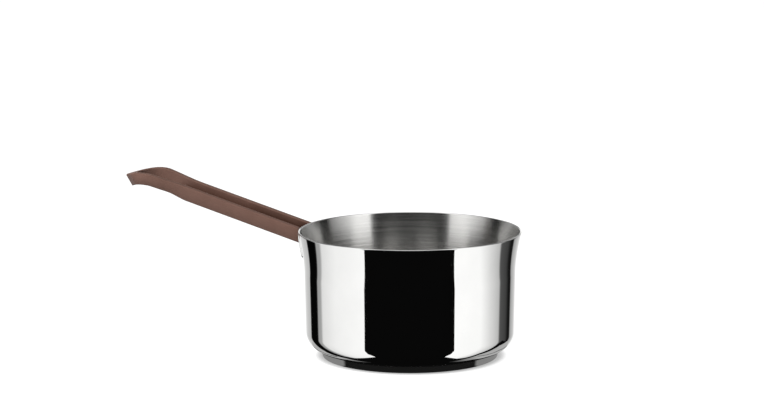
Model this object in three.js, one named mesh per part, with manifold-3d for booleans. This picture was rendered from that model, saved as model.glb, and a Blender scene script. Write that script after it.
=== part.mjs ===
// Saucepan: a drawn steel body on a capsule base, with a cast handle riveted to a welded bracket.
// Millimetres, +Z up. The origin is the centre of the base on the table. The handle points along -X.
import * as THREE from "three";
import { mergeVertices } from "three/addons/utils/BufferGeometryUtils.js";
import Module from "manifold-3d";

const wasm = await Module();
wasm.setup();

// Space left between neighbouring pieces, and the number of facets round the pan
const GAP = 0.3;
const FACETS = 80;

// Body: drawn from one sheet, nearly straight, then opening out to the lip
const PAN_HEIGHT = 93;
const RIM_DIAMETER = 164.8;
const LIP_FLARE = 4.65;
const FLARE_HEIGHT = 31;
const FLARE_POWER = 1.7;
const WALL_DRAFT = 0.9;
const CORNER_RADIUS = 13.5;
const SHEET = 1.4;
const LIP_ROUND = 0.4;

// Capsule base: a cap of thinner sheet pressed over an aluminium disc
const BASE_HEIGHT = 5;
const CAP_OVERHANG = 1.6;
const CAP_TAPER = 0.3;
const CAP_SHEET = 1;
const CAP_EDGE = 0.5;

// Handle: a cast channel that swells near its end and closes in a raked point, like a bow
const HANDLE_LENGTH = 148.4;
const HANDLE_WIDTH = 29.6;
const HANDLE_HEIGHT = 10.8;
const HANDLE_BELOW_LIP = 1.6;
const HANDLE_RISE = THREE.MathUtils.degToRad(15.85);
const HANDLE_WALL = 6.1;
const HANDLE_EDGE = 1.1;
const GROOVE_DEPTH = 7.2;
const GROOVE_END_HALF_WIDTH = 2;
const SWELL = 4.55;
const SWELL_LENGTH = 33.6;
const SWELL_LIFT = 0.3;
const SHOULDER_RADIUS = 20;
const POINT_HALF_ANGLE = THREE.MathUtils.degToRad(52);
const NOSE_RADIUS = 1.2;
const NOSE_HALF_WIDTH = 0.5;
const NECK_HEIGHT = 8.6;
const TIP_HEIGHT = 8.9;
const THINNING_START = 31.8;
const THINNING_END = 16.6;
const TIP_DROOP = 11.3;
const DROOP_LENGTH = 28.6;
const DROOP_POWER = 1.6;
const TIP_RAKE = 4.5;
const EYE_LENGTH = 36;
const EYE_ROUND = 12;

// Bracket: a saddle welded to the wall, with a tongue that lies in the groove of the handle
const SADDLE_WIDTH = 50;
const SADDLE_HEIGHT = 20;
const SADDLE_SHEET = 1.6;
const SADDLE_CORNER = 7;
const TONGUE_LENGTH = 46;
const TONGUE_SHEET = 1.6;
const TONGUE_PLAY = 1.8;

// Rivets: two, along the tongue
const RIVET_RADIUS = 2.5;
const RIVET_HEAD_RADIUS = 4.4;
const RIVET_HEAD_HEIGHT = 1.2;
const RIVET_SPACING = 20;
const RIVET_FACETS = 24;

// Sizes that follow from the ones above
const RIM_RADIUS = RIM_DIAMETER / 2;
const WALL_RADIUS = RIM_RADIUS - LIP_FLARE;
const FLARE_START = PAN_HEIGHT - FLARE_HEIGHT;
const CORNER_TOP = BASE_HEIGHT + CORNER_RADIUS;
const FLOOR_RADIUS = WALL_RADIUS - WALL_DRAFT - CORNER_RADIUS;
const CAP_RADIUS = FLOOR_RADIUS + CAP_OVERHANG;
const TIP = RIM_RADIUS + HANDLE_LENGTH;
const WIDEST = HANDLE_WIDTH / 2 + SWELL;
const SHOULDER_RUN = SHOULDER_RADIUS * Math.sin(POINT_HALF_ANGLE);
const SHOULDER_FALL = SHOULDER_RADIUS * (1 - Math.cos(POINT_HALF_ANGLE));
const POINT = TIP - NOSE_RADIUS + NOSE_RADIUS / Math.sin(POINT_HALF_ANGLE);
const POINT_RUN = (WIDEST - SHOULDER_FALL) / Math.tan(POINT_HALF_ANGLE);
const SHOULDER = POINT - POINT_RUN - SHOULDER_RUN;
const SHOULDER_CENTRE = WIDEST - SHOULDER_RADIUS;
const SWELL_START = SHOULDER - SWELL_LENGTH;
const NOSE_START = TIP - NOSE_RADIUS * (1 - Math.sin(POINT_HALF_ANGLE));
const GROOVE_RADIUS = SHOULDER_RADIUS - HANDLE_WALL;
const HANDLE_FLOOR = HANDLE_HEIGHT - GROOVE_DEPTH;
const TONGUE_WIDTH = HANDLE_WIDTH - 2 * HANDLE_WALL - 2 * TONGUE_PLAY;

// Solids

function toSolid(geometry) {
  const bare = geometry.index ? geometry.toNonIndexed() : geometry.clone();
  bare.deleteAttribute("normal");
  bare.deleteAttribute("uv");
  const merged = mergeVertices(bare, 1e-4);
  return new wasm.Manifold(
    new wasm.Mesh({
      numProp: 3,
      vertProperties: merged.attributes.position.array,
      triVerts: new Uint32Array(merged.index.array),
    }),
  );
}

function toGeometry(solid) {
  const mesh = solid.getMesh();
  const geometry = new THREE.BufferGeometry();
  geometry.setAttribute("position", new THREE.BufferAttribute(mesh.vertProperties, 3));
  geometry.setIndex(new THREE.BufferAttribute(mesh.triVerts, 1));
  geometry.computeVertexNormals();
  return geometry;
}

// A turned solid round Z, from points given as [radius, height]
function turned(points, facets) {
  const profile = points.map(([radius, height]) => new THREE.Vector2(radius, height));
  return new THREE.LatheGeometry(profile, facets).rotateX(Math.PI / 2);
}

// A closed skin through rings of points, all rings with the same number of points
function lofted(rings) {
  const count = rings[0].length;
  const last = rings.length - 1;
  const index = [];
  for (let ring = 0; ring < last; ring++) {
    for (let i = 0; i < count; i++) {
      const here = ring * count + i;
      const next = ring * count + ((i + 1) % count);
      index.push(here, next + count, next);
      index.push(here, here + count, next + count);
    }
  }
  for (let i = 1; i < count - 1; i++) {
    index.push(0, i, i + 1);
    index.push(last * count, last * count + i + 1, last * count + i);
  }
  const geometry = new THREE.BufferGeometry();
  geometry.setAttribute("position", new THREE.Float32BufferAttribute(rings.flat(2), 3));
  geometry.setIndex(index);
  return geometry;
}

function smooth(from, to, value) {
  return THREE.MathUtils.smoothstep(value, from, to);
}

// Pan body

// Outside radius of the wall at a height above the bottom corner
function wallRadius(height) {
  if (height > FLARE_START) {
    return WALL_RADIUS + LIP_FLARE * ((height - FLARE_START) / FLARE_HEIGHT) ** FLARE_POWER;
  }
  return WALL_RADIUS - (WALL_DRAFT * (FLARE_START - height)) / (FLARE_START - CORNER_TOP);
}

// The body's section, offset inwards from the outside, from the axis to just under the lip
function bodySection(inset) {
  const points = [[0, BASE_HEIGHT + inset]];
  const cornerSteps = 7;
  for (let i = 0; i <= cornerSteps; i++) {
    const angle = (i / cornerSteps) * (Math.PI / 2);
    const radius = FLOOR_RADIUS + (CORNER_RADIUS - inset) * Math.sin(angle);
    points.push([radius, CORNER_TOP - (CORNER_RADIUS - inset) * Math.cos(angle)]);
  }
  const flareSteps = 8;
  for (let i = 0; i <= flareSteps; i++) {
    const height = FLARE_START + (i / flareSteps) * (FLARE_HEIGHT - LIP_ROUND);
    points.push([wallRadius(height) - inset, height]);
  }
  return points;
}

function makeBody() {
  const lip = [
    [RIM_RADIUS - LIP_ROUND, PAN_HEIGHT],
    [RIM_RADIUS - SHEET + LIP_ROUND, PAN_HEIGHT],
  ];
  return turned([...bodySection(0), ...lip, ...bodySection(SHEET).reverse()], FACETS);
}

// Everything inside the wall's outside face moved outwards, to cut what sits against the wall
function wallCutter(offset) {
  const points = [[0, CORNER_TOP]];
  const steps = 12;
  for (let i = 0; i <= steps; i++) {
    const height = CORNER_TOP + (i / steps) * (PAN_HEIGHT - CORNER_TOP);
    points.push([wallRadius(height) + offset, height]);
  }
  const over = PAN_HEIGHT + HANDLE_HEIGHT;
  points.push([RIM_RADIUS + offset, over], [0, over]);
  return toSolid(turned(points, FACETS));
}

// Base

function makeCap() {
  const top = BASE_HEIGHT - GAP;
  const edgeMiddle = CAP_EDGE * (1 - Math.SQRT1_2);
  return turned(
    [
      [0, 0],
      [CAP_RADIUS - CAP_TAPER - CAP_EDGE, 0],
      [CAP_RADIUS - CAP_TAPER - edgeMiddle, edgeMiddle],
      [CAP_RADIUS - CAP_TAPER, CAP_EDGE],
      [CAP_RADIUS, top],
      [CAP_RADIUS - CAP_SHEET, top],
      [CAP_RADIUS - CAP_SHEET - CAP_TAPER, CAP_SHEET],
      [0, CAP_SHEET],
    ],
    FACETS,
  );
}

function makeDisc() {
  const radius = CAP_RADIUS - CAP_SHEET - GAP;
  return turned(
    [
      [0, CAP_SHEET + GAP],
      [radius - CAP_TAPER, CAP_SHEET + GAP],
      [radius, BASE_HEIGHT - GAP],
      [0, BASE_HEIGHT - GAP],
    ],
    FACETS,
  );
}

// Handle, drawn along the distance from the pan's axis

function chord(radius, offset) {
  return Math.sqrt(Math.max(0, radius ** 2 - offset ** 2));
}

// Half-width of the outline: straight, a swell, round shoulders, two slanting sides and a round nose
function halfWidth(distance) {
  if (distance < SHOULDER) {
    return HANDLE_WIDTH / 2 + SWELL * smooth(SWELL_START, SHOULDER, distance);
  }
  if (distance < SHOULDER + SHOULDER_RUN) {
    return SHOULDER_CENTRE + chord(SHOULDER_RADIUS, distance - SHOULDER);
  }
  if (distance < NOSE_START) {
    return (POINT - distance) * Math.tan(POINT_HALF_ANGLE);
  }
  return Math.max(chord(NOSE_RADIUS, distance - TIP + NOSE_RADIUS), NOSE_HALF_WIDTH);
}

// Half-width of the groove: a wall inside the outline, with a round end that leaves the point solid
function grooveHalfWidth(distance) {
  if (distance < SHOULDER) {
    return halfWidth(distance) - HANDLE_WALL;
  }
  return SHOULDER_CENTRE + chord(GROOVE_RADIUS, distance - SHOULDER);
}

function topHeight(distance) {
  const straight = PAN_HEIGHT - HANDLE_BELOW_LIP + Math.tan(HANDLE_RISE) * (distance - RIM_RADIUS);
  const lift = SWELL_LIFT * smooth(SWELL_START, SHOULDER, distance);
  const along = Math.max(0, (distance - TIP + DROOP_LENGTH) / DROOP_LENGTH);
  return straight + lift - TIP_DROOP * along ** DROOP_POWER;
}

function handleHeight(distance) {
  const thinning = smooth(SHOULDER - THINNING_START, SHOULDER - THINNING_END, distance);
  const deepening = smooth(SHOULDER, TIP, distance);
  const neck = HANDLE_HEIGHT + (NECK_HEIGHT - HANDLE_HEIGHT) * thinning;
  return neck + (TIP_HEIGHT - NECK_HEIGHT) * deepening;
}

function stations(from, to, count) {
  return Array.from({ length: count + 1 }, (_, i) => from + ((to - from) * i) / count);
}

// One section of the handle: eight corners, with the underside drawn back towards the tip
function handleRing(distance) {
  const half = halfWidth(distance);
  const top = topHeight(distance);
  const bottom = top - handleHeight(distance);
  const foot = distance - TIP_RAKE * smooth(SHOULDER, TIP, distance);
  const edge = Math.min(HANDLE_EDGE, half / 2);
  return [
    [-foot, half - edge, bottom],
    [-foot, half, bottom + HANDLE_EDGE],
    [-distance, half, top - HANDLE_EDGE],
    [-distance, half - edge, top],
    [-distance, edge - half, top],
    [-distance, -half, top - HANDLE_EDGE],
    [-foot, -half, bottom + HANDLE_EDGE],
    [-foot, edge - half, bottom],
  ];
}

function grooveRing(distance, half, low, high) {
  return [
    [-distance, half, low],
    [-distance, half, high],
    [-distance, -half, high],
    [-distance, -half, low],
  ];
}

function makeHandle() {
  const start = WALL_RADIUS;
  const steps = 30;
  const noseSteps = 4;
  const nose = stations(NOSE_START, TIP, noseSteps).slice(1);
  const outer = [start, ...stations(SWELL_START, NOSE_START, steps), ...nose].map(handleRing);

  // The groove ends where its round end has closed to a narrow flat
  const grooveEnd = SHOULDER + chord(GROOVE_RADIUS, GROOVE_END_HALF_WIDTH - SHOULDER_CENTRE);
  const groove = [start - HANDLE_WALL, ...stations(SWELL_START, grooveEnd, steps)].map((distance) => {
    const top = topHeight(distance);
    return grooveRing(distance, grooveHalfWidth(distance), top - GROOVE_DEPTH, top + HANDLE_HEIGHT);
  });

  // The hanging eye goes through the floor and has a round end towards the pan
  const eyeStart = grooveEnd - EYE_LENGTH;
  const eyeRing = (distance, share) => {
    const top = topHeight(distance);
    return grooveRing(distance, grooveHalfWidth(distance) * share, top - 2 * HANDLE_HEIGHT, top);
  };
  const eye = [];
  const roundSteps = 8;
  for (let i = 1; i < roundSteps; i++) {
    const angle = (i / roundSteps) * (Math.PI / 2);
    eye.push(eyeRing(eyeStart + EYE_ROUND * (1 - Math.cos(angle)), Math.sin(angle)));
  }
  eye.push(...stations(eyeStart + EYE_ROUND, grooveEnd, steps / 2).map((distance) => eyeRing(distance, 1)));

  return toSolid(lofted(outer))
    .subtract(toSolid(lofted(groove)))
    .subtract(toSolid(lofted(eye)))
    .subtract(wallCutter(GAP + SADDLE_SHEET + GAP));
}

// The frame of the groove's floor: X outwards along the handle, Z square to the floor
const floorFrame = new THREE.Matrix4().makeBasis(
  new THREE.Vector3(-Math.cos(HANDLE_RISE), 0, Math.sin(HANDLE_RISE)),
  new THREE.Vector3(0, -1, 0),
  new THREE.Vector3(Math.sin(HANDLE_RISE), 0, Math.cos(HANDLE_RISE)),
);
floorFrame.setPosition(-RIM_RADIUS, 0, topHeight(RIM_RADIUS) - GROOVE_DEPTH);

// Bracket

function roundedRectangle(width, height, corner) {
  const x = width / 2 - corner;
  const y = height / 2 - corner;
  const shape = new THREE.Shape();
  shape.absarc(x, y, corner, 0, Math.PI / 2);
  shape.absarc(-x, y, corner, Math.PI / 2, Math.PI);
  shape.absarc(-x, -y, corner, Math.PI, Math.PI * 1.5);
  shape.absarc(x, -y, corner, Math.PI * 1.5, Math.PI * 2);
  shape.closePath();
  return shape;
}

function makeBracket() {
  const saddleTop = topHeight(RIM_RADIUS) - HANDLE_EDGE;
  const outline = roundedRectangle(SADDLE_WIDTH, SADDLE_HEIGHT, SADDLE_CORNER);
  const block = new THREE.ExtrudeGeometry(outline, {
    depth: RIM_RADIUS,
    bevelEnabled: false,
    curveSegments: 6,
  });
  block.applyMatrix4(
    new THREE.Matrix4().makeBasis(
      new THREE.Vector3(0, 1, 0),
      new THREE.Vector3(0, 0, 1),
      new THREE.Vector3(1, 0, 0),
    ),
  );
  block.translate(-RIM_RADIUS - SADDLE_WIDTH, 0, saddleTop - SADDLE_HEIGHT / 2);

  const strip = new THREE.Shape();
  const back = -TONGUE_WIDTH;
  const half = TONGUE_WIDTH / 2;
  strip.moveTo(back, -half);
  strip.lineTo(TONGUE_LENGTH - half, -half);
  strip.absarc(TONGUE_LENGTH - half, 0, half, -Math.PI / 2, Math.PI / 2);
  strip.lineTo(back, half);
  strip.closePath();
  const tongue = new THREE.ExtrudeGeometry(strip, {
    depth: TONGUE_SHEET,
    bevelEnabled: false,
    curveSegments: 10,
  });
  tongue.translate(0, 0, GAP).applyMatrix4(floorFrame);

  const wall = wallCutter(GAP);
  const saddle = toSolid(block).intersect(wallCutter(GAP + SADDLE_SHEET)).subtract(wall);
  return saddle.add(toSolid(tongue).subtract(wall));
}

// Rivets

function rivetPlace(number) {
  const along = TONGUE_LENGTH - TONGUE_WIDTH / 2 - RIVET_SPACING * (1 - number);
  return new THREE.Matrix4().makeTranslation(along, 0, 0).premultiply(floorFrame);
}

// Heights in the frame of the floor where the two heads sit
const UPPER_SEAT = GAP + TONGUE_SHEET + GAP;
const LOWER_SEAT = -HANDLE_FLOOR * Math.cos(HANDLE_RISE) - GAP;

function makeRivet(number) {
  const points = [];
  const steps = 5;
  for (let i = 0; i <= steps; i++) {
    const angle = (i / steps) * (Math.PI / 2);
    const height = LOWER_SEAT - RIVET_HEAD_HEIGHT * Math.cos(angle);
    points.push([RIVET_HEAD_RADIUS * Math.sin(angle), height]);
  }
  points.push([RIVET_RADIUS, LOWER_SEAT], [RIVET_RADIUS, UPPER_SEAT]);
  for (let i = steps; i >= 0; i--) {
    const angle = (i / steps) * (Math.PI / 2);
    const height = UPPER_SEAT + RIVET_HEAD_HEIGHT * Math.cos(angle);
    points.push([RIVET_HEAD_RADIUS * Math.sin(angle), height]);
  }
  return turned(points, RIVET_FACETS).applyMatrix4(rivetPlace(number));
}

function rivetHole(number) {
  const radius = RIVET_RADIUS + GAP;
  const hole = new THREE.CylinderGeometry(radius, radius, 4 * HANDLE_HEIGHT, RIVET_FACETS);
  return toSolid(hole.rotateX(Math.PI / 2).applyMatrix4(rivetPlace(number)));
}

// Assembly

const group = new THREE.Group();

function place(name, geometry, color, roughness, metalness) {
  const material = new THREE.MeshStandardMaterial({ color, roughness, metalness });
  const mesh = new THREE.Mesh(geometry, material);
  mesh.name = name;
  group.add(mesh);
}

let handle = makeHandle();
let bracket = makeBracket();
for (const number of [0, 1]) {
  handle = handle.subtract(rivetHole(number));
  bracket = bracket.subtract(rivetHole(number));
}

place("pan_body", makeBody(), 0xd4d6d8, 0.08, 1);
place("heat_spreader_disc", makeDisc(), 0xb9bcc0, 0.45, 1);
place("base_cap", makeCap(), 0xc6c8ca, 0.25, 1);
place("handle_bracket", toGeometry(bracket), 0xcfd1d3, 0.15, 1);
place("handle", toGeometry(handle), 0x6b4f45, 0.38, 0.7);
place("handle_rivet_inner", makeRivet(0), 0xcfd1d3, 0.2, 1);
place("handle_rivet_outer", makeRivet(1), 0xcfd1d3, 0.2, 1);

export default group;
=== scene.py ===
from math import acos, atan, cos, degrees, pi, radians, sin, sqrt, tan

import bmesh
import bpy
from mathutils import Matrix, Vector


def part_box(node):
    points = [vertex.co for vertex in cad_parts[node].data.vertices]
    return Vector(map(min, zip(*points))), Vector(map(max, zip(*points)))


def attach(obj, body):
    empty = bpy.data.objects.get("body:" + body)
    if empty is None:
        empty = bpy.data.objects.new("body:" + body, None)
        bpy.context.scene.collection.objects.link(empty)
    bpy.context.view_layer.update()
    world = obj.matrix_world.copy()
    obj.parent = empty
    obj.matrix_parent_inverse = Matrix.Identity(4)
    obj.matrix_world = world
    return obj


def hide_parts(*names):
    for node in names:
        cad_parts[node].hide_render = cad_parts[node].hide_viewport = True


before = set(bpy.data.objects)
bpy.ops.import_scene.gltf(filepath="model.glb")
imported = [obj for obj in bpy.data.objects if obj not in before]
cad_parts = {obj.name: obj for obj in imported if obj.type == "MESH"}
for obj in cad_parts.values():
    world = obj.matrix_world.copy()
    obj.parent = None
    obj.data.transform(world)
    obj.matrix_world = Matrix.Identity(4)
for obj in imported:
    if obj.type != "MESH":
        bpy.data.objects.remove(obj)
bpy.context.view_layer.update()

# The gap that stands for welds, bonded faces and tight seats
GAP = 0.0003

# Body
PAN_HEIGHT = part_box("pan_body")[1].z
BASE_HEIGHT = 0.005
RIM_RADIUS = 0.0824
LIP_FLARE = 0.00465
FLARE_HEIGHT = 0.031
FLARE_POWER = 1.7
WALL_DRAFT = 0.0009
CORNER_RADIUS = 0.0135
SHEET = 0.0014
WALL_RADIUS = RIM_RADIUS - LIP_FLARE
FLARE_START = PAN_HEIGHT - FLARE_HEIGHT
CORNER_TOP = BASE_HEIGHT + CORNER_RADIUS
FLOOR_RADIUS = WALL_RADIUS - WALL_DRAFT - CORNER_RADIUS
PAN_SEGMENTS = 256

# Base cap
CAP_TOP = BASE_HEIGHT - GAP
CAP_OVERHANG = 0.0016
CAP_RADIUS = FLOOR_RADIUS + CAP_OVERHANG
CAP_TAPER = 0.0003
CAP_SHEET = 0.001
CAP_EDGE = 0.0005
CAP_CENTRE_RADIUS = 0.017
CAP_CENTRE_DEPTH = 0.0003

# Handle
HANDLE_LENGTH = 0.1484
HANDLE_WIDTH = 0.0296
HANDLE_HEIGHT = 0.0108
HANDLE_BELOW_LIP = 0.0016
HANDLE_RISE = radians(15.85)
HANDLE_WALL = 0.0061
GROOVE_DEPTH = 0.0072
SWELL = 0.00455
SWELL_LENGTH = 0.0336
SWELL_LIFT = 0.0003
SHOULDER_RADIUS = 0.02
POINT_HALF_ANGLE = radians(52)
NOSE_RADIUS = 0.0012
NECK_HEIGHT = 0.0086
TIP_HEIGHT = 0.0089
THINNING_START = 0.0318
THINNING_END = 0.0166
TIP_DROOP = 0.0113
DROOP_LENGTH = 0.0286
DROOP_POWER = 1.6
TIP_RAKE = 0.0045
EYE_LENGTH = 0.036
EYE_ROUND = 0.012
EYE_END_HALF_WIDTH = 0.002
OUTER_EDGE = 0.0009
SIDE_CAMBER = 0.0009
SIDE_CREST = 0.55
INNER_EDGE = 0.0007
FLOOR_EDGE = 0.0015
EYE_EDGE = 0.0005
ROOT_CLEARANCE = 0.0022
TIP = RIM_RADIUS + HANDLE_LENGTH
WIDEST = HANDLE_WIDTH / 2 + SWELL
POINT = TIP - NOSE_RADIUS + NOSE_RADIUS / sin(POINT_HALF_ANGLE)
POINT_RUN = (WIDEST - SHOULDER_RADIUS * (1 - cos(POINT_HALF_ANGLE))) / tan(POINT_HALF_ANGLE)
SHOULDER = POINT - POINT_RUN - SHOULDER_RADIUS * sin(POINT_HALF_ANGLE)
SHOULDER_CENTRE = WIDEST - SHOULDER_RADIUS
SWELL_START = SHOULDER - SWELL_LENGTH
GROOVE_RADIUS = SHOULDER_RADIUS - HANDLE_WALL
EYE_END = SHOULDER + sqrt(GROOVE_RADIUS**2 - (EYE_END_HALF_WIDTH - SHOULDER_CENTRE) ** 2)
EYE_START = EYE_END - EYE_LENGTH

# Bracket and rivets
SADDLE_WIDTH = 0.05
SADDLE_HEIGHT = 0.02
SADDLE_SHEET = 0.0016
SADDLE_CORNER = 0.007
SADDLE_EDGE = 0.0006
SADDLE_BELOW_HANDLE_TOP = 0.0011
TONGUE_LENGTH = 0.046
TONGUE_SHEET = 0.0016
TONGUE_EDGE = 0.0005
TONGUE_SIDE_GAP = 0.0018
TONGUE_ROOT = -0.0004
TONGUE_WIDTH = HANDLE_WIDTH - 2 * HANDLE_WALL - 2 * TONGUE_SIDE_GAP
RIVET_RADIUS = 0.0025
RIVET_HEAD_RADIUS = 0.0044
RIVET_HEAD_HEIGHT = 0.0012
RIVET_SPACING = 0.02
RIVET_SEGMENTS = 48

# Mesh making
SHARP_ANGLE = radians(40)
HANDLE_SHARP_ANGLE = radians(50)
JOINED_DISTANCE = 2e-6
SLIVER_LENGTH = 1e-6
AXIS_WIDTH = 1e-7
LEAST_RADIUS = 1e-5
SETTLING_ROUNDS = 20

# Colours
BLACK = (0, 0, 0, 1)
WHITE = (1, 1, 1, 1)
STEEL_TONE = (0.80, 0.80, 0.79)
SATIN_TONE = (0.76, 0.755, 0.74)
CAP_TONE = (0.72, 0.72, 0.71)
UNDERSIDE_TONE = (0.62, 0.62, 0.61)
BRACKET_TONE = (0.76, 0.76, 0.75)
RIVET_TONE = (0.74, 0.74, 0.73)
ALUMINIUM_DULL = (0.68, 0.68, 0.69)
ALUMINIUM_TONE = (0.76, 0.76, 0.77)
# The brown coat's painted shade in the groove's recess
COAT_PAINTED_SHADE = (0.06, 0.027, 0.018)
COAT_DULL = (0.148, 0.081, 0.062)
COAT_TONE = (0.17, 0.094, 0.073)

# Camera, set from the ellipses of the rim and the base
CAMERA_AZIMUTH = radians(21)
CAMERA_DISTANCE = 2.2
CAMERA_HEIGHT = 0.477
CAMERA_YAW = 0.00928
CAMERA_PITCH = 0.1659
CAMERA_ROLL = -0.003
CAMERA_LENS = 143.2
CAMERA_SENSOR = 36

# Floor
FLOOR_REACH = 8
FLOOR_LEVEL = -0.0001
FLOOR_GREY = (0.2, 0.2, 0.2, 1)

# The ring of painted shade that the base's side shows, and the flat cards, each a little higher than the one
# before it
FIELD_LEVEL = -0.00006
PAINTED_SHADOW_LEVEL = -0.00005
LIGHT_LEVEL = -0.00004
LINE_LEVEL = -0.00003
RING_LEVEL = -0.00002
RING_INSIDE = 0.05
RING_RADIUS = 0.067
RING_SHEET = 0.0001
RING_HEIGHT = 0.005
RING_SEGMENTS = 96

# Outlines of the flat cards: degrees from the camera's side, growing to the right, and radii in mm
DARK_FIELD = [(0, 60), (-24, 87), (-29.5, 95), (-35, 120), (-40, 176), (-45, 336), (-51, 7700)]
DARK_FIELD += [(49, 7900), (44, 336), (39, 176), (34, 120), (28.5, 95), (24, 87)]
# The pan's shadow on the floor round the base, painted as a dark card that only the steel reflects
PAINTED_SHADOW_OUTLINE = [(0, 0), (-67, 82), (-53, 78), (-37, 76), (-23, 85), (0, 110), (23, 85), (31, 77), (38, 77)]
PAINTED_SHADOW_OUTLINE += [(50, 83), (66, 93), (80, 112), (92, 130)]
LIGHT_LEFT = [(-26, 69), (-26, 70), (-45, 72), (-54, 73), (-67, 77), (-80, 85), (-95, 95)]
LIGHT_LEFT += [(-95, 67), (-76, 67), (-60, 67), (-45, 68.5)]
LIGHT_RIGHT = [(26, 70), (26, 71), (38, 74), (50, 79), (66, 85), (77, 93), (95, 101)]
LIGHT_RIGHT += [(95, 67), (77, 67), (60, 67), (45, 69)]
LINE_LEFT = [(-54, 71), (-76, 71.5), (-93, 76), (-93, 78), (-76, 73), (-54, 72.5)]
LINE_RIGHT = [(48, 75), (73, 75), (93, 79), (93, 81), (73, 76.5), (48, 76)]

# Levels of the studio by angle from the camera's side: below the horizon, which the outside of the pan shows
LOW_REAR_LEFT = [(-180, 1.10), (-166, 0.95), (-160, 0.75), (-150, 0.65), (-142, 0.60)]
LOW_GAP_LEFT = [(-140.5, 0.002), (-122.5, 0.002)]
LOW_LEFT = [(-121, 0.40), (-114.5, 0.45), (-112, 0.90), (-90, 1.10), (-53, 1.20)]
LOW_RIGHT = [(50, 1.25), (84, 1.20), (100, 0.85), (114, 0.60)]
LOW_GAP_RIGHT = [(117, 0.10), (130, 0.06), (136, 0.01), (142, 0.01)]
LOW_REAR_RIGHT = [(145, 0.45), (160, 0.70), (166, 0.95), (180, 1.10)]
LOW_BANDS = LOW_REAR_LEFT + LOW_GAP_LEFT + LOW_LEFT + LOW_RIGHT + LOW_GAP_RIGHT + LOW_REAR_RIGHT

# The same above the horizon, which the inside of the pan shows
HIGH_REAR_LEFT = [(-180, 0.10), (-165, 0.10), (-155, 0.35), (-131, 0.48), (-118, 0.10)]
HIGH_GAP_LEFT = [(-111, 0.00), (-102, 0.00)]
HIGH_LEFT = [(-97, 0.20), (-88, 0.85), (-60, 1.33), (-45.5, 1.10)]
HIGH_FRONT = [(-42.5, 0.00), (-20, 0.02), (20, 0.02), (42, 0.00)]
HIGH_RIGHT = [(45, 1.45), (60, 1.45), (68, 1.12), (84, 0.68), (93, 0.48)]
HIGH_GAP_RIGHT = [(100, 0.01), (118, 0.01)]
HIGH_REAR_RIGHT = [(124, 0.25), (138, 0.45), (158, 0.60), (165, 0.10), (180, 0.10)]
HIGH_BANDS = HIGH_REAR_LEFT + HIGH_GAP_LEFT + HIGH_LEFT + HIGH_FRONT
HIGH_BANDS += HIGH_RIGHT + HIGH_GAP_RIGHT + HIGH_REAR_RIGHT
CEILING_LEVEL = 1.1


def smooth(start, end, value):
    share = min(1, max(0, (value - start) / (end - start)))
    return share * share * (3 - 2 * share)


def spread(start, end, steps):
    return [start + (end - start) * i / steps for i in range(steps + 1)]


def arc(centre, radius, start, end, steps):
    """Points of an arc in a plane, from one angle to another, in degrees."""
    turns = [radians(angle) for angle in spread(start, end, steps)]
    return [(centre[0] + radius * cos(turn), centre[1] + radius * sin(turn)) for turn in turns]


def quarter(radius, steps):
    """Setbacks of a rounded edge from its two faces, from the first face to the second."""
    turns = spread(0, pi / 2, steps)
    return [(radius * (1 - sin(turn)), radius * (1 - cos(turn))) for turn in turns]


# Meshes

def mesh_piece(name, points, faces, materials, face_slots=None):
    """A smooth-shaded mesh object with its hard edges marked."""
    mesh = bpy.data.meshes.new(name)
    mesh.from_pydata(points, [], faces)
    for material in materials:
        mesh.materials.append(material)
    if face_slots:
        mesh.polygons.foreach_set("material_index", face_slots)
    mesh.shade_smooth()
    mesh.set_sharp_from_angle(angle=SHARP_ANGLE)
    mesh.validate()
    piece = bpy.data.objects.new(name, mesh)
    bpy.context.scene.collection.objects.link(piece)
    return piece


def turned_mesh(profile, segments):
    """Points and faces of a turned body, from (radius, height) pairs, with one point where the radius is 0.
    Also gives the number of the profile's stretch that each face belongs to."""
    points = []
    rings = []
    for radius, height in profile:
        count = segments if radius > 0 else 1
        rings.append(range(len(points), len(points) + count))
        for i in range(count):
            angle = 2 * pi * i / segments
            points.append((radius * cos(angle), radius * sin(angle), height))
    faces = []
    stretches = []
    for stretch, (low, high) in enumerate(zip(rings, rings[1:])):
        for i in range(segments):
            j = (i + 1) % segments
            corners = [low[i % len(low)], low[j % len(low)], high[j % len(high)], high[i % len(high)]]
            faces.append(list(dict.fromkeys(corners)))
            stretches.append(stretch)
    return points, faces, stretches


def loft(rings):
    """Points and faces of a closed skin through rings of as many points, with one face at each end."""
    count = len(rings[0])
    points = [point for ring in rings for point in ring]
    faces = []
    for start in range(0, len(points) - count, count):
        for i in range(count):
            j = (i + 1) % count
            faces.append((start + i, start + j, start + j + count, start + i + count))
    faces.append(tuple(range(count))[::-1])
    faces.append(tuple(range(len(points) - count, len(points))))
    return points, faces


def clean(mesh):
    """Joins doubled points, drops slivers and turns the faces outwards."""
    bmesh.ops.remove_doubles(mesh, verts=mesh.verts, dist=JOINED_DISTANCE)
    bmesh.ops.dissolve_degenerate(mesh, edges=mesh.edges, dist=SLIVER_LENGTH)
    bmesh.ops.recalc_face_normals(mesh, faces=mesh.faces)


def even_normals(piece):
    weighted = piece.modifiers.new("even_normals", "WEIGHTED_NORMAL")
    weighted.keep_sharp = True


def dress(piece, node):
    """The piece stands for a node of the part: it hangs under the root body, and the node is hidden."""
    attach(piece, "root")
    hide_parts(node)


# Pan body

def wall_radius(height):
    if height > FLARE_START:
        return WALL_RADIUS + LIP_FLARE * ((height - FLARE_START) / FLARE_HEIGHT) ** FLARE_POWER
    return WALL_RADIUS - WALL_DRAFT * (FLARE_START - height) / (FLARE_START - CORNER_TOP)


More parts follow.
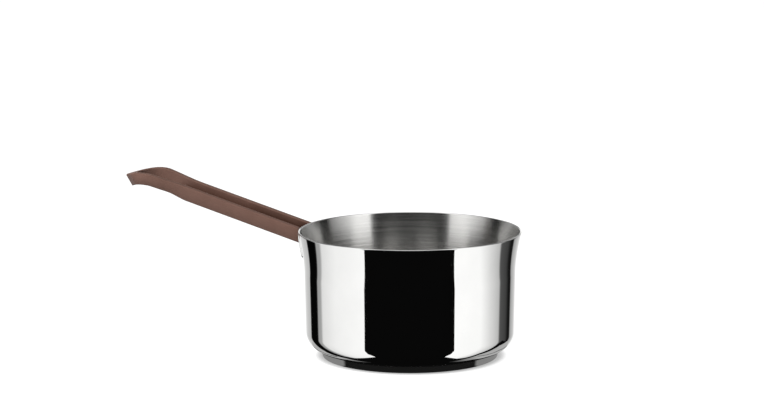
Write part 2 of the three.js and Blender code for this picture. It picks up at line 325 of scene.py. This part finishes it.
def body_section(inset, top):
    """One face of the sheet, from the axis to just under the lip."""
    points = [(0, BASE_HEIGHT + inset), (FLOOR_RADIUS / 2, BASE_HEIGHT + inset)]
    points += arc((FLOOR_RADIUS, CORNER_TOP), CORNER_RADIUS - inset, -90, 0, steps=24)
    heights = spread(CORNER_TOP, FLARE_START, steps=8)[1:] + spread(FLARE_START, top, steps=32)[1:]
    return points + [(wall_radius(height) - inset, height) for height in heights]


def make_body(outside, inside):
    tilt = atan(LIP_FLARE * FLARE_POWER / FLARE_HEIGHT)
    lip_radius = SHEET * cos(tilt) / 2
    lip_height = PAN_HEIGHT - lip_radius
    lip_centre = (wall_radius(lip_height) - SHEET / 2, lip_height)
    lip = arc(lip_centre, lip_radius, -degrees(tilt), 180 - degrees(tilt), steps=12)
    outer = body_section(0, lip_height - 2 * lip_radius * sin(tilt))
    inner = body_section(SHEET, lip_height - lip_radius * sin(tilt))
    points, faces, stretches = turned_mesh(outer + lip + inner[::-1], PAN_SEGMENTS)
    outside_stretches = len(outer) + len(lip) - 1
    slots = [0 if stretch < outside_stretches else 1 for stretch in stretches]
    piece = mesh_piece("pan_shell", points, faces, [outside, inside], slots)
    dress(piece, "pan_body")


# Base cap

def make_cap(side, underside):
    foot = CAP_RADIUS - CAP_TAPER - CAP_EDGE
    lean = degrees(atan(CAP_TAPER / (CAP_TOP - CAP_EDGE)))
    profile = [
        (0, CAP_CENTRE_DEPTH),
        (CAP_CENTRE_RADIUS, CAP_CENTRE_DEPTH),
        (CAP_CENTRE_RADIUS + CAP_CENTRE_DEPTH, 0),
        (foot / 2, 0),
    ]
    underside_stretches = len(profile)
    profile += arc((foot, CAP_EDGE), CAP_EDGE, -90, -lean, steps=8)
    profile += [
        (CAP_RADIUS, CAP_TOP),
        (CAP_RADIUS - CAP_SHEET, CAP_TOP),
        (CAP_RADIUS - CAP_SHEET - CAP_TAPER, CAP_SHEET),
        (0, CAP_SHEET),
    ]
    points, faces, stretches = turned_mesh(profile, PAN_SEGMENTS)
    slots = [1 if stretch < underside_stretches else 0 for stretch in stretches]
    piece = mesh_piece("base_cap_shell", points, faces, [side, underside], slots)
    dress(piece, "base_cap")


# Handle, drawn along the distance from the pan's axis

def top_height(distance):
    straight = PAN_HEIGHT - HANDLE_BELOW_LIP + tan(HANDLE_RISE) * (distance - RIM_RADIUS)
    lift = SWELL_LIFT * smooth(SWELL_START, SHOULDER, distance)
    along = max(0, (distance - TIP + DROOP_LENGTH) / DROOP_LENGTH)
    return straight + lift - TIP_DROOP * along**DROOP_POWER


def handle_height(distance):
    thinning = smooth(SHOULDER - THINNING_START, SHOULDER - THINNING_END, distance)
    neck = HANDLE_HEIGHT + (NECK_HEIGHT - HANDLE_HEIGHT) * thinning
    return neck + (TIP_HEIGHT - NECK_HEIGHT) * smooth(SHOULDER, TIP, distance)


def rake(distance):
    """How far the underside is drawn back under a point of the top outline."""
    return TIP_RAKE * smooth(SHOULDER, TIP, distance)


def underside_height(distance):
    """Height of the underside at this distance."""
    above = distance
    for _ in range(SETTLING_ROUNDS):
        above = distance + rake(above)
    return top_height(above) - handle_height(above)


def swell_outline(distance):
    """Half-width of the outline before the shoulder, and its slope."""
    def half_width(place):
        return HANDLE_WIDTH / 2 + SWELL * smooth(SWELL_START, SHOULDER, place)

    step = 1e-5
    half = half_width(distance)
    return half, (half_width(distance + step) - half) / step


def handle_stations():
    """The outline from the root to the nose, in plan: outer point and its normal, inner point and its normal,
    and the eye's turn, which is None before the eye. A plan point is (distance, half-width)."""
    stations = []
    before_eye = [(distance, None) for distance in spread(SWELL_START, EYE_START - 3 * EYE_EDGE, steps=10)]
    at_eye = [(EYE_START + EYE_ROUND * (1 - cos(turn)), turn) for turn in spread(0, pi / 2, steps=14)]
    after_eye = [(distance, pi / 2) for distance in spread(EYE_START + EYE_ROUND, SHOULDER, steps=8)[1:]]
    for distance, turn in before_eye + at_eye + after_eye:
        half, slope = swell_outline(distance)
        normal = Vector((-slope, 1)).normalized()
        outer = Vector((distance, half))
        inner = Vector((distance, half - HANDLE_WALL))
        stations.append((outer, normal, inner, normal, turn))

    # Past the shoulder the outside has slanting sides and a round nose
    centre = Vector((SHOULDER, SHOULDER_CENTRE))
    nose = Vector((TIP - NOSE_RADIUS, 0))
    slant = Vector((sin(POINT_HALF_ANGLE), cos(POINT_HALF_ANGLE)))
    slant_start = centre + slant * SHOULDER_RADIUS
    slant_end = nose + slant * NOSE_RADIUS
    outline = []
    for turn in spread(0, POINT_HALF_ANGLE, steps=14)[1:]:
        normal = Vector((sin(turn), cos(turn)))
        outline.append((centre + normal * SHOULDER_RADIUS, normal))
    outline += [(slant_start.lerp(slant_end, share), slant) for share in spread(0, 1, steps=6)[1:]]
    for turn in spread(POINT_HALF_ANGLE, pi / 2, steps=6)[1:]:
        normal = Vector((sin(turn), cos(turn)))
        outline.append((nose + normal * NOSE_RADIUS, normal))

    # The groove closes in a round end
    last = acos(-SHOULDER_CENTRE / GROOVE_RADIUS)
    for (outer, normal), turn in zip(outline, spread(0, last, steps=len(outline))[1:]):
        inward = Vector((sin(turn), cos(turn)))
        inner = centre + inward * GROOVE_RADIUS
        stations.append((outer, normal, inner, inward if turn < last else Vector((1, 0)), pi / 2))
    return stations


def handle_section(outer, normal, inner, inward, turn):
    """One half-section as a loop of points (distance, half-width, height), from the axis below to the axis
    above."""
    def at(plan, drop):
        return (plan.x, plan.y, top_height(plan.x) - drop)

    def below(plan, rise):
        return (plan.x, plan.y, underside_height(plan.x) + rise)

    camber = SIDE_CAMBER * (1 - smooth(SHOULDER, TIP, outer.x))

    def setback(share):
        """How far the rounded side lies behind the outline, from its foot at 0 to its ridge at 1."""
        return normal * camber * ((share - SIDE_CREST) / SIDE_CREST) ** 2

    # The outer side, the top and the brink of the groove
    foot = outer - Vector((rake(outer.x), 0))
    lowest = Vector(below(foot, OUTER_EDGE))
    highest = Vector(at(outer, OUTER_EDGE))
    ridge = outer - setback(1) - normal * OUTER_EDGE
    brink = inner + inward * INNER_EDGE
    up_side = spread(0, 1, steps=8)[1:-1]
    across_top = spread(0, 1, steps=4)[1:-1]
    loop = [below(foot - setback(0) - normal * back, rise) for back, rise in quarter(OUTER_EDGE, steps=4)]
    loop += [tuple(lowest.lerp(highest, share) - setback(share).to_3d()) for share in up_side]
    loop += [at(outer - setback(1) - normal * back, drop) for drop, back in quarter(OUTER_EDGE, steps=4)]
    loop += [at(ridge.lerp(brink, share), 0) for share in across_top]
    loop += [at(inner + inward * back, drop) for back, drop in quarter(INNER_EDGE, steps=4)]

    # The floor of the groove, down to the eye's edge where there is an eye
    if turn is None:
        eye, away, room = Vector((outer.x, 0)), Vector((0, 0)), inner.y
    elif turn < pi / 2:
        eye = Vector((outer.x, inner.y * sin(turn)))
        away = Vector((-inner.y * cos(turn), EYE_ROUND * sin(turn))).normalized()
        room = max(0, inner.y - eye.y)
    else:
        eye, away, room = inner, inward, 0
    corner = min(FLOOR_EDGE, room / 2)
    edge = min(EYE_EDGE, room / 2)
    loop += [
        at(inner - inward * corner * (1 - cos(angle)), GROOVE_DEPTH - corner * (1 - sin(angle)))
        for angle in spread(0, pi / 2, steps=4)
    ]
    loop += [at(eye + away * back, GROOVE_DEPTH + drop) for drop, back in quarter(edge, steps=2)]
    loop += [below(eye + away * back, rise) for back, rise in quarter(EYE_EDGE, steps=2)[::-1]]
    return loop


def wall_distance(half, drop, clearance):
    """Distance from the axis where a line along the handle meets the wall's outside, moved out by a
    clearance."""
    distance = RIM_RADIUS
    for _ in range(SETTLING_ROUNDS):
        distance = sqrt((wall_radius(top_height(distance) - drop) + clearance) ** 2 - half**2)
    return distance


def make_handle(coat):
    sections = [handle_section(*station) for station in handle_stations()]

    # The straight part runs from the wall of the pan to the first station
    straight = []
    for share in spread(0, 1, steps=12)[:-1]:
        ring = []
        for distance, half, height in sections[0]:
            drop = top_height(distance) - height
            root = wall_distance(half, drop, ROOT_CLEARANCE)
            along = root + (distance - root) * share
            ring.append((along, half, top_height(along) - drop))
        straight.append(ring)
    sections = straight + sections

    mesh = bmesh.new()
    for side in (1, -1):
        rings = [
            [mesh.verts.new((-distance, side * half, height)) for distance, half, height in section]
            for section in sections
        ]
        for ring, following in zip(rings, rings[1:]):
            for i in range(len(ring)):
                j = (i + 1) % len(ring)
                corners = [ring[i], ring[j], following[j], following[i]]
                if any(abs(corner.co.y) > AXIS_WIDTH for corner in corners):
                    mesh.faces.new(corners)
        mesh.faces.new(rings[0])
    clean(mesh)
    piece = mesh_piece("handle_channel", [], [], [coat])
    mesh.to_mesh(piece.data)
    mesh.free()
    piece.data.shade_smooth()
    piece.data.set_sharp_from_angle(angle=HANDLE_SHARP_ANGLE)
    even_normals(piece)
    dress(piece, "handle")


# The frame of the groove's floor: X outwards along the handle, Z square to the floor
floor_frame = Matrix(
    (
        (-cos(HANDLE_RISE), 0, sin(HANDLE_RISE), -RIM_RADIUS),
        (0, -1, 0, 0),
        (sin(HANDLE_RISE), 0, cos(HANDLE_RISE), top_height(RIM_RADIUS) - GROOVE_DEPTH),
        (0, 0, 0, 1),
    )
)


# Bracket

def rounded_outline(width, height, corner, inset):
    """A rounded rectangle moved inwards, always with the same number of points."""
    round_radius = max(corner - inset, LEAST_RADIUS)
    x = width / 2 - inset - round_radius
    y = height / 2 - inset - round_radius
    points = []
    for centre, start in (((x, y), 0), ((-x, y), 90), ((-x, -y), 180), ((x, -y), 270)):
        points += arc(centre, round_radius, start, start + 90, steps=6)
        if start in (0, 180):
            across = spread(centre[0], -centre[0], steps=14)[1:-1]
            points += [(place, points[-1][1]) for place in across]
    return points


def saddle_skin():
    middle = top_height(RIM_RADIUS) - SADDLE_BELOW_HANDLE_TOP - SADDLE_HEIGHT / 2
    deep = SADDLE_HEIGHT / 2 - LEAST_RADIUS
    inner = [(deep, 0), (deep / 2, 0), (SADDLE_EDGE, 0), (0, SADDLE_EDGE / 2)]
    rounding = [(back, SADDLE_SHEET - drop) for back, drop in quarter(SADDLE_EDGE, steps=4)[::-1]]
    outer = [(deep / 4, SADDLE_SHEET), (deep / 2, SADDLE_SHEET), (deep, SADDLE_SHEET)]
    rings = []
    for inset, depth in inner + rounding + outer:
        ring = []
        for y, z in rounded_outline(SADDLE_WIDTH, SADDLE_HEIGHT, SADDLE_CORNER, inset):
            height = middle + z
            radius = wall_radius(height) + GAP + depth
            ring.append((-sqrt(radius**2 - y**2), -y, height))
        rings.append(ring)
    return loft(rings)


def tongue_skin():
    half = TONGUE_WIDTH / 2
    straight = TONGUE_LENGTH - half
    edges = quarter(TONGUE_EDGE, steps=3)
    rings = []
    for inset, rise in edges + [(back, TONGUE_SHEET - rise) for back, rise in edges[::-1]]:
        outline = arc((straight, 0), half - inset, -90, 90, steps=24)
        outline += [(place, half - inset) for place in spread(straight, TONGUE_ROOT, steps=6)[1:]]
        outline += [(place, inset - half) for place in spread(TONGUE_ROOT, straight, steps=6)[:-1]]
        rings.append([floor_frame @ Vector((x, y, GAP + rise)) for x, y in outline])
    return loft(rings)


def make_bracket(steel):
    points, faces = saddle_skin()
    tongue_points, tongue_faces = tongue_skin()
    offset = len(points)
    points = [Vector(point) for point in points] + tongue_points
    faces += [tuple(corner + offset for corner in face) for face in tongue_faces]
    piece = mesh_piece("bracket_saddle", points, faces, [steel])
    mesh = bmesh.new()
    mesh.from_mesh(piece.data)
    clean(mesh)
    mesh.to_mesh(piece.data)
    mesh.free()
    even_normals(piece)
    dress(piece, "handle_bracket")


# Rivets

def make_rivet(node, along, steel):
    """A rivet with a low dome at both ends, at a distance along the tongue."""
    upper = GAP + TONGUE_SHEET + GAP
    lower = -(HANDLE_HEIGHT - GROOVE_DEPTH) * cos(HANDLE_RISE) - GAP
    turns = spread(0, pi / 2, steps=10)
    head = [(RIVET_HEAD_RADIUS * sin(turn), RIVET_HEAD_HEIGHT * cos(turn)) for turn in turns]
    profile = [(radius, lower - rise) for radius, rise in head]
    profile += [(RIVET_RADIUS, lower), (RIVET_RADIUS, upper)]
    profile += [(radius, upper + rise) for radius, rise in head[::-1]]
    points, faces, _ = turned_mesh(profile, RIVET_SEGMENTS)
    place = floor_frame @ Matrix.Translation((along, 0, 0))
    piece = mesh_piece(node + "_dome", [place @ Vector(point) for point in points], faces, [steel])
    dress(piece, node)


# Nodes and materials

class Nodes:
    """Short calls to make and wire the nodes of one tree."""

    def __init__(self, tree):
        self.tree = tree

    def add(self, kind, inputs=None, **settings):
        made = self.tree.nodes.new("ShaderNode" + kind)
        for setting, value in settings.items():
            setattr(made, setting, value)
        for socket, value in (inputs or {}).items():
            if isinstance(value, bpy.types.NodeSocket):
                self.tree.links.new(value, made.inputs[socket])
            else:
                made.inputs[socket].default_value = value
        return made

    def maths(self, operation, first, second=0.0):
        return self.add("Math", {0: first, 1: second}, operation=operation).outputs[0]

    def vector(self, operation, inputs):
        return self.add("VectorMath", inputs, operation=operation).outputs["Vector"]

    def remap(self, value, start, end, low=0.0, high=1.0):
        """A value between low and high, from one that runs from start to end."""
        inputs = {"Value": value, "From Min": start, "From Max": end, "To Min": low, "To Max": high}
        return self.add("MapRange", inputs).outputs["Result"]

    def blend(self, factor, first, second):
        """A number between two others, which are the Mix node's sockets 2 and 3."""
        return self.add("Mix", {0: factor, 2: first, 3: second}, data_type="FLOAT").outputs[0]

    def azimuth(self, parts):
        """Angle of separated coordinates from the side that faces -Y, in radians and growing to the right."""
        return self.maths("ARCTAN2", parts["X"], self.maths("MULTIPLY", parts["Y"], -1.0))


class Surface(Nodes):
    """A node material with one Principled shader."""

    def __init__(self, name, **sockets):
        self.material = bpy.data.materials.new(name)
        self.material.use_nodes = True
        super().__init__(self.material.node_tree)
        self.shader = self.tree.nodes["Principled BSDF"]
        for socket, value in sockets.items():
            self.shader.inputs[socket.replace("_", " ")].default_value = value

    def drive(self, socket, output):
        self.tree.links.new(output, self.shader.inputs[socket])

    def place(self):
        return self.add("TexCoord").outputs["Object"]

    def noise(self, vector, scale, detail):
        return self.add("TexNoise", {"Vector": vector, "Scale": scale, "Detail": detail}).outputs["Fac"]

    def vary(self, noise, low=0.0, high=1.0):
        """A value between low and high from a noise, most of which lies between 0.3 and 0.7."""
        return self.remap(noise, 0.3, 0.7, low, high)

    def shade(self, factor, low, high):
        """A colour between low and high, the Mix node's sockets 6 and 7. The high one may be an output."""
        if not isinstance(high, bpy.types.NodeSocket):
            high = (*high, 1)
        return self.add("Mix", {0: factor, 6: (*low, 1), 7: high}, data_type="RGBA").outputs[2]

    def occlusion(self, distance):
        return self.add("AmbientOcclusion", {"Distance": distance}, samples=8).outputs["AO"]

    def rings(self, across, along):
        """Coordinates that change fast across the turning marks, up the wall or out on a floor, and slowly
        along them."""
        parts = self.add("SeparateXYZ", {0: self.place()}).outputs
        flat = self.add("CombineXYZ", {"X": parts["X"], "Y": parts["Y"]}).outputs[0]
        length = self.add("VectorMath", {0: flat}, operation="LENGTH").outputs["Value"]
        slow = self.vector("SCALE", {0: self.vector("NORMALIZE", {0: flat}), "Scale": along})
        fast = self.maths("MULTIPLY", self.maths("ADD", length, parts["Z"]), across)
        lift = self.add("CombineXYZ", {"Z": fast}).outputs[0]
        return self.vector("ADD", {0: slow, 1: lift})

    def bump(self, height, strength, distance):
        made = self.add("Bump", {"Height": height, "Strength": strength, "Distance": distance})
        self.drive("Normal", made.outputs["Normal"])

    def turning_tangent(self):
        tangent = self.add("Tangent", direction_type="RADIAL", axis="Z")
        self.drive("Tangent", tangent.outputs["Tangent"])


def mirror_steel(name, roughness, tone):
    """Polished sheet: faint cloudy wear in the gloss and very shallow waves."""
    surface = Surface(name, Metallic=1.0)
    clouds = surface.noise(surface.place(), scale=55, detail=4)
    waves = surface.noise(surface.place(), scale=22, detail=1)
    dull = [value * 0.97 for value in tone]
    surface.drive("Roughness", surface.vary(clouds, low=roughness * 0.7, high=roughness * 1.4))
    surface.drive("Base Color", surface.shade(surface.vary(clouds), dull, tone))
    surface.bump(waves, strength=0.05, distance=0.0004)
    return surface.material


def turned_steel(name, roughness, tone, across):
    """Satin steel with fine turning marks round the axis, which draw its gloss out across them."""
    surface = Surface(name, Metallic=1.0, Anisotropic=1.0, Anisotropic_Rotation=0.25)
    marks = surface.noise(surface.rings(across, along=1.2), scale=1, detail=3)
    dull = [value * 0.84 for value in tone]
    surface.drive("Roughness", surface.vary(marks, low=roughness * 0.85, high=roughness * 1.15))
    surface.drive("Base Color", surface.shade(surface.vary(marks), dull, tone))
    surface.bump(marks, strength=0.06, distance=0.00005)
    surface.turning_tangent()
    return surface.material


def aluminium():
    """Plain rolled sheet with a fine grain."""
    surface = Surface("aluminium", Metallic=1.0)
    grain = surface.noise(surface.place(), scale=900, detail=3)
    surface.drive("Roughness", surface.vary(grain, low=0.38, high=0.5))
    surface.drive("Base Color", surface.shade(surface.vary(grain), ALUMINIUM_DULL, ALUMINIUM_TONE))
    return surface.material


def brown_coat():
    """Satin brown coat: fine grain, soft clouds in the colour, and painted shade in the groove's recess,
    where ambient occlusion darkens the tone.
    """
    surface = Surface("brown_coat", Specular_IOR_Level=0.3)
    clouds = surface.noise(surface.place(), scale=70, detail=3)
    grain = surface.noise(surface.place(), scale=2600, detail=2)
    tone = surface.shade(surface.vary(clouds), COAT_DULL, COAT_TONE)
    # Painted shade: ambient occlusion darkens the coat towards the recess colour in the groove
    unshaded_share = surface.remap(surface.occlusion(distance=0.012), start=0.5, end=0.95)
    surface.drive("Base Color", surface.shade(unshaded_share, COAT_PAINTED_SHADE, tone))
    surface.drive("Roughness", surface.vary(grain, low=0.5, high=0.62))
    surface.bump(grain, strength=0.12, distance=0.0001)
    return surface.material


# Stage: a white floor and a studio of white walls with dark gaps, which the polished steel shows as bands

def make_camera():
    data = bpy.data.cameras.new("camera")
    data.sensor_width = CAMERA_SENSOR
    data.lens = CAMERA_LENS
    camera = bpy.data.objects.new("camera", data)
    camera.location = (
        CAMERA_DISTANCE * sin(CAMERA_AZIMUTH),
        -CAMERA_DISTANCE * cos(CAMERA_AZIMUTH),
        CAMERA_HEIGHT,
    )
    heading = Matrix.Rotation(CAMERA_AZIMUTH + CAMERA_YAW, 3, "Z")
    tilt = Matrix.Rotation(pi / 2 - CAMERA_PITCH, 3, "X")
    roll = Matrix.Rotation(CAMERA_ROLL, 3, "Z")
    camera.rotation_euler = (heading @ tilt @ roll).to_euler()
    bpy.context.scene.collection.objects.link(camera)
    bpy.context.scene.camera = camera


def make_world():
    """White to the camera, banded to the polished steel, and a soft even light to everything else."""
    world = bpy.data.worlds.new("studio")
    bpy.context.scene.world = world
    world.use_nodes = True
    nodes = Nodes(world.node_tree)
    direction = nodes.add("TexCoord").outputs["Generated"]
    rotation = {"Vector": direction, "Angle": -CAMERA_AZIMUTH}
    turned = nodes.add("VectorRotate", rotation, rotation_type="Z_AXIS")
    parts = nodes.add("SeparateXYZ", {0: turned.outputs["Vector"]}).outputs
    turn = nodes.remap(nodes.azimuth(parts), start=-pi, end=pi)

    def level(bands):
        ramp = nodes.add("ValToRGB", {0: turn})
        stops = ramp.color_ramp.elements
        while len(stops) < len(bands):
            stops.new(0.5)
        for stop, (angle, strength) in zip(stops, bands):
            stop.position = (angle + 180) / 360
            stop.color = (strength, strength, strength, 1)
        return ramp.outputs["Color"]

    # The horizon lies higher at the rear, and the ceiling is white
    rear = nodes.remap(parts["Y"], start=0.88, end=0.95, high=0.2)
    above = nodes.remap(nodes.maths("SUBTRACT", parts["Z"], rear), start=-0.02, end=0.02)
    walls = nodes.blend(above, level(LOW_BANDS), level(HIGH_BANDS))
    ceiling = nodes.remap(parts["Z"], start=0.75, end=0.95)
    studio = nodes.blend(ceiling, walls, CEILING_LEVEL)

    facing = nodes.remap(parts["Y"], start=1.0, end=-1.0, low=0.5)
    lowness = nodes.remap(parts["Z"], start=0.0, end=0.5, low=1.3, high=0.15)
    soft = nodes.maths("MULTIPLY", lowness, facing)
    path = nodes.add("LightPath").outputs
    light = nodes.blend(path["Is Glossy Ray"], soft, studio)
    shown = nodes.blend(path["Is Camera Ray"], light, 1.0)
    nodes.tree.links.new(shown, nodes.tree.nodes["Background"].inputs["Color"])


def make_floor():
    """White to the camera, with the real shadow on its grey and a painted contact shadow close to the base.
    """
    surface = Surface("floor_white", Roughness=0.9, Specular_IOR_Level=0.0, Base_Color=FLOOR_GREY)
    surface.shader.inputs["Emission Color"].default_value = WHITE
    camera_ray = surface.add("LightPath").outputs["Is Camera Ray"]
    # Painted shadow: ambient occlusion dims the white glow close to the base
    glow_and_painted_shadow = surface.remap(surface.occlusion(distance=0.007), start=0.36, end=0.92, low=0.42, high=0.97)
    surface.drive("Emission Strength", surface.maths("MULTIPLY", camera_ray, glow_and_painted_shadow))
    sides = [(-1, -1), (1, -1), (1, 1), (-1, 1)]
    corners = [(x * FLOOR_REACH, y * FLOOR_REACH, FLOOR_LEVEL) for x, y in sides]
    floor = mesh_piece("floor", corners, [(0, 1, 2, 3)], [surface.material])
    floor.visible_glossy = False


def place_card(name, points, faces, materials, slots):
    """A card that only the polished steel sees, turned to the camera's side."""
    card = mesh_piece(name, points, faces, materials, slots)
    card.rotation_euler.z = CAMERA_AZIMUTH
    card.visible_camera = False
    card.visible_diffuse = False
    card.visible_shadow = False


def card_surface(name, strength=0.0):
    """A card's finish that shines white and reflects nothing."""
    sockets = {"Base_Color": BLACK, "Emission_Color": WHITE, "Emission_Strength": strength}
    return Surface(name, Roughness=1.0, Specular_IOR_Level=0.0, **sockets)


def side_light(name, low, high, start, end):
    """A card's finish that is dark towards the camera and grows light at both sides, between two angles in
    degrees."""
    surface = card_surface(name)
    parts = surface.add("SeparateXYZ", {0: surface.place()}).outputs
    away = surface.maths("ABSOLUTE", surface.azimuth(parts))
    surface.drive("Emission Strength", surface.remap(away, radians(start), radians(end), low, high))
    return surface.material


def make_cards():
    """Flat cards on the floor, one of them a painted shadow, and a low ring of painted shade round the base.
    """
    dark = card_surface("card_dark", strength=0.003).material
    light = side_light("card_light", low=0.03, high=0.5, start=28, end=50)
    cards = [
        (DARK_FIELD, FIELD_LEVEL, 0),
        # Painted shadow of the pan on the floor
        (PAINTED_SHADOW_OUTLINE, PAINTED_SHADOW_LEVEL, 0),
        (LIGHT_LEFT, LIGHT_LEVEL, 1),
        (LIGHT_RIGHT, LIGHT_LEVEL, 1),
        (LINE_LEFT, LINE_LEVEL, 0),
        (LINE_RIGHT, LINE_LEVEL, 0),
    ]
    points = []
    faces = []
    for outline, height, _ in cards:
        faces.append(tuple(range(len(points), len(points) + len(outline))))
        for angle, millimetres in outline:
            turn = radians(angle)
            radius = millimetres / 1000
            points.append((radius * sin(turn), -radius * cos(turn), height))
    place_card("floor_card", points, faces, [dark, light], [slot for _, _, slot in cards])

    # The ring is painted shade under the pan's overhang, as the corner and the base's side show it: grey
    # inside and dark outside
    grey = side_light("ring_painted_shade", low=0.012, high=0.3, start=48, end=51)
    inside = [(RING_INSIDE, RING_LEVEL), (RING_RADIUS, RING_LEVEL), (RING_RADIUS, RING_HEIGHT)]
    outside = [(RING_RADIUS + RING_SHEET, RING_HEIGHT), (RING_RADIUS + RING_SHEET, RING_LEVEL)]
    points, faces, stretches = turned_mesh(inside + outside, RING_SEGMENTS)
    inside_stretches = len(inside) - 1
    slots = [0 if stretch < inside_stretches else 1 for stretch in stretches]
    place_card("shade_ring_card", points, faces, [grey, dark], slots)


def make_lamp(name, place, size, energy):
    """A round soft lamp that faces the pan. Its place is seen from the camera's side."""
    data = bpy.data.lights.new(name, "AREA")
    data.shape = "DISK"
    data.size = size
    data.energy = energy
    lamp = bpy.data.objects.new(name, data)
    lamp.location = Matrix.Rotation(CAMERA_AZIMUTH, 4, "Z") @ Vector(place)
    target = Vector((0, 0, PAN_HEIGHT / 2))
    lamp.rotation_euler = (target - lamp.location).to_track_quat("-Z", "Y").to_euler()
    lamp.visible_glossy = False
    bpy.context.scene.collection.objects.link(lamp)


# Assembly

bpy.context.scene.view_settings.view_transform = "Standard"

polished_outside = mirror_steel("steel_polished", roughness=0.035, tone=STEEL_TONE)
satin_inside = turned_steel("steel_satin", roughness=0.22, tone=SATIN_TONE, across=1000)
make_body(polished_outside, satin_inside)

cap_side = mirror_steel("steel_cap", roughness=0.09, tone=CAP_TONE)
cap_underside = turned_steel("steel_turned", roughness=0.3, tone=UNDERSIDE_TONE, across=2600)
make_cap(cap_side, cap_underside)

make_handle(brown_coat())
make_bracket(mirror_steel("steel_bracket", roughness=0.08, tone=BRACKET_TONE))

rivet_steel = mirror_steel("steel_rivet", roughness=0.12, tone=RIVET_TONE)
outer_rivet = TONGUE_LENGTH - TONGUE_WIDTH / 2
make_rivet("handle_rivet_inner", outer_rivet - RIVET_SPACING, rivet_steel)
make_rivet("handle_rivet_outer", outer_rivet, rivet_steel)

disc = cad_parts["heat_spreader_disc"]
disc.data.materials.clear()
disc.data.materials.append(aluminium())

make_camera()
make_world()
make_floor()
make_cards()
make_lamp("front_lamp", place=(-1.4, -1.2, 1.9), size=1.2, energy=70)
